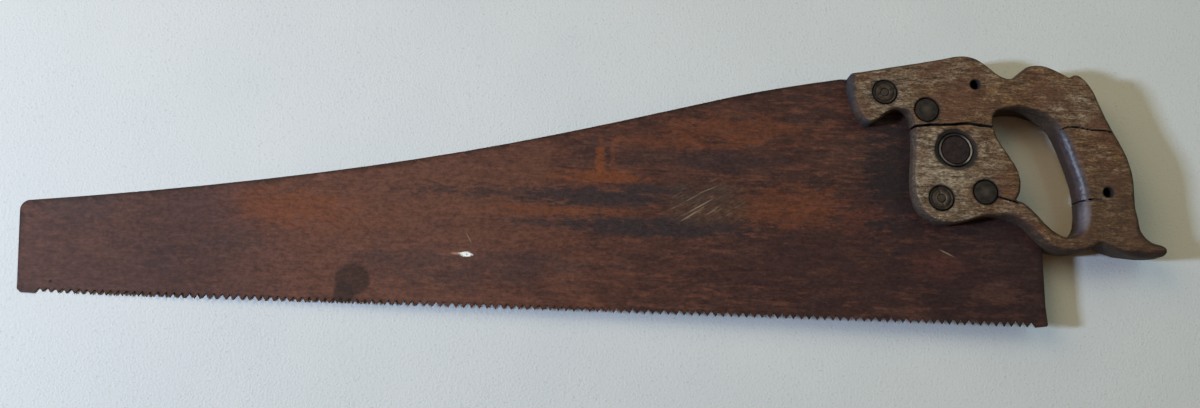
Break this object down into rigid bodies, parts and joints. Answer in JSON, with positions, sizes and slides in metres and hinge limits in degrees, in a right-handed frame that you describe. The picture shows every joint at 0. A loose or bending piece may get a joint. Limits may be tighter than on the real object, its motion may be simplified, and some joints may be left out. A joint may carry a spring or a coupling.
{
  "type": "hand saw",
  "caption": "Skew-back carpenter's hand saw: a tapered toothed steel plate bolted into the slot of a shaped closed wooden handle.",
  "frame": {"origin": "middle of the whole saw's box in X and Y, at the underside of the handle, with the saw lying on its right side", "axes": "+X along the teeth from the toe to the handle, +Y from the teeth to the blade's back, +Z out of the handle's left face, which holds the medallion"},
  "size_m": [0.7496, 0.1816, 0.0222],
  "materials": {
    "blade_steel": "old saw plate with an even purple-brown rust patina, matt, with fine streaks along its length",
    "handle_wood": "weathered hardwood with the varnish gone, grey-tan over brown, open grain along X, drying cracks",
    "fastener_steel": "dark tarnished metal, dull, fine pitting",
    "medallion_metal": "dark tarnished metal, with a rim rubbed bright",
    "disc_metal": "dark tarnished disc with a plain worn face"
  },
  "bodies": {
    "root": {"blade": "blade_steel", "handle": "handle_wood", "medallion_bolt": "medallion_metal", "medallion_disc": "disc_metal", "medallion_nut": "fastener_steel", "bolt_top_front": "fastener_steel", "nut_top_front": "fastener_steel", "bolt_top_rear": "fastener_steel", "nut_top_rear": "fastener_steel", "bolt_bottom_front": "fastener_steel", "nut_bottom_front": "fastener_steel", "bolt_bottom_rear": "fastener_steel", "nut_bottom_rear": "fastener_steel"}
  },
  "joints": []
}
